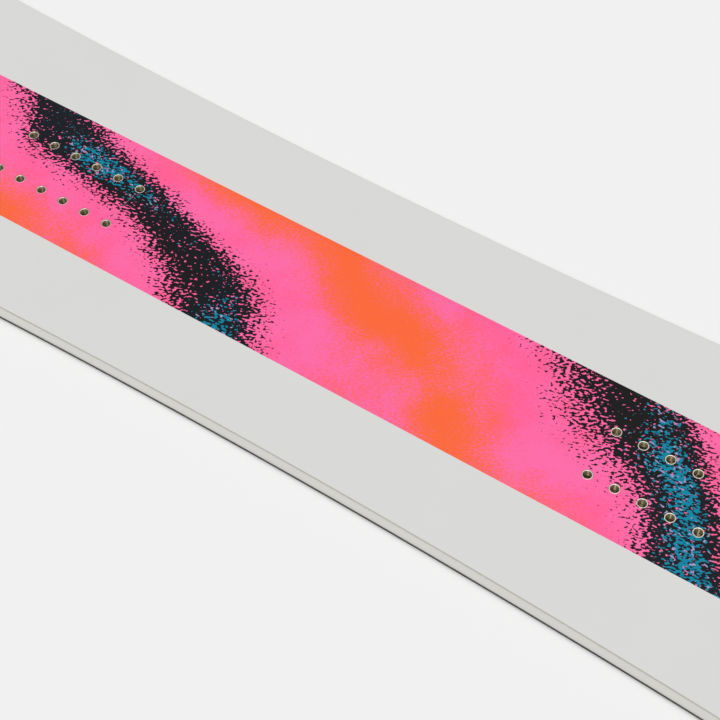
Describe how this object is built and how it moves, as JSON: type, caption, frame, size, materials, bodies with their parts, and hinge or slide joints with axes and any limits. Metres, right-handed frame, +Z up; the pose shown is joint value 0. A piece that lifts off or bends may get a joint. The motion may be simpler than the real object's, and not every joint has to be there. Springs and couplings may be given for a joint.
{
  "type": "snowboard",
  "caption": "Bare twin-tip snowboard of laminated layers with steel edges and threaded inserts for two bindings.",
  "frame": {"origin": "on the floor under the middle of the board, at the centre of its outline", "axes": "+X from nose to tail, +Y to the toe edge, +Z up out of the deck"},
  "size_m": [1.438, 0.2894, 0.0481],
  "materials": {
    "topsheet": "satin printed nylon, pale grey with a coloured centre band",
    "sidewall_plastic": "milled ABS, fine lengthwise tool marks",
    "fibreglass": "glass fibre in clear epoxy, cut edge beige",
    "poplar": "planed poplar, end-glued strips",
    "beech": "planed beech, end-glued strips",
    "foil_rubber": "thin black rubber foil",
    "edge_steel": "ground steel, fine lengthwise scratches",
    "base_plastic": "black polyethylene with fine lengthwise stone grind",
    "insert_steel": "turned stainless steel"
  },
  "bodies": {
    "root": {"topsheet": "topsheet", "upper_laminate": "fibreglass", "core_strip_centre": "poplar", "core_strip_toe_1": "beech", "core_strip_toe_2": "poplar", "core_strip_toe_3": "beech", "core_strip_toe_4": "poplar", "core_strip_toe_outer": "beech", "core_strip_heel_1": "beech", "core_strip_heel_2": "poplar", "core_strip_heel_3": "beech", "core_strip_heel_4": "poplar", "core_strip_heel_outer": "beech", "sidewall_toe": "sidewall_plastic", "sidewall_heel": "sidewall_plastic", "nose_spacer": "sidewall_plastic", "tail_spacer": "sidewall_plastic", "lower_laminate": "fibreglass", "edge_foil_toe": "foil_rubber", "edge_foil_heel": "foil_rubber", "steel_edge_toe": "edge_steel", "steel_edge_heel": "edge_steel", "base": "base_plastic", "insert_nose_toe_1": "insert_steel", "insert_nose_toe_2": "insert_steel", "insert_nose_toe_3": "insert_steel", "insert_nose_toe_4": "insert_steel", "insert_nose_toe_5": "insert_steel", "insert_nose_toe_6": "insert_steel", "insert_nose_heel_1": "insert_steel", "insert_nose_heel_2": "insert_steel", "insert_nose_heel_3": "insert_steel", "insert_nose_heel_4": "insert_steel", "insert_nose_heel_5": "insert_steel", "insert_nose_heel_6": "insert_steel", "insert_tail_toe_1": "insert_steel", "insert_tail_toe_2": "insert_steel", "insert_tail_toe_3": "insert_steel", "insert_tail_toe_4": "insert_steel", "insert_tail_toe_5": "insert_steel", "insert_tail_toe_6": "insert_steel", "insert_tail_heel_1": "insert_steel", "insert_tail_heel_2": "insert_steel", "insert_tail_heel_3": "insert_steel", "insert_tail_heel_4": "insert_steel", "insert_tail_heel_5": "insert_steel", "insert_tail_heel_6": "insert_steel"}
  },
  "joints": []
}
